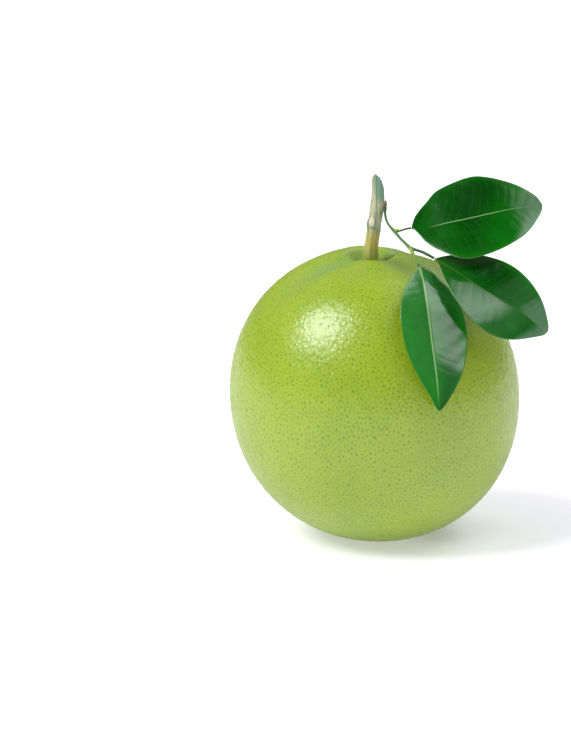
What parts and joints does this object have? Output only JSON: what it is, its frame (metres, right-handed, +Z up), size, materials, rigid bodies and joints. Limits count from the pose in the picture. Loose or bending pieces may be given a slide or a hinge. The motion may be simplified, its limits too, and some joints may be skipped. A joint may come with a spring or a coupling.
{
  "type": "pomelo",
  "caption": "Round green pomelo as picked, with its cut fruit stalk standing in the furrowed hollow at the top and a leafy side shoot to the right.",
  "frame": {"origin": "middle of the small flat spot that the fruit rests on", "axes": "+Z up along the fruit's core, -Y is the front that the front leaf hangs down, +X is the side that the leaves spread to"},
  "size_m": [0.1696, 0.1569, 0.1984],
  "materials": {
    "rind": "waxy pitted citrus rind, yellow green",
    "calyx": "dry matt sepals, olive brown",
    "stalk": "grey green striped bark, olive below",
    "shoot": "smooth green young bark",
    "leaf": "glossy dark green blade with a pale midrib"
  },
  "bodies": {
    "root": {"fruit": "rind", "calyx": "calyx", "stalk": "stalk", "shoot": "shoot", "leaf_upper": "leaf", "leaf_right": "leaf", "leaf_front": "leaf"}
  },
  "joints": []
}
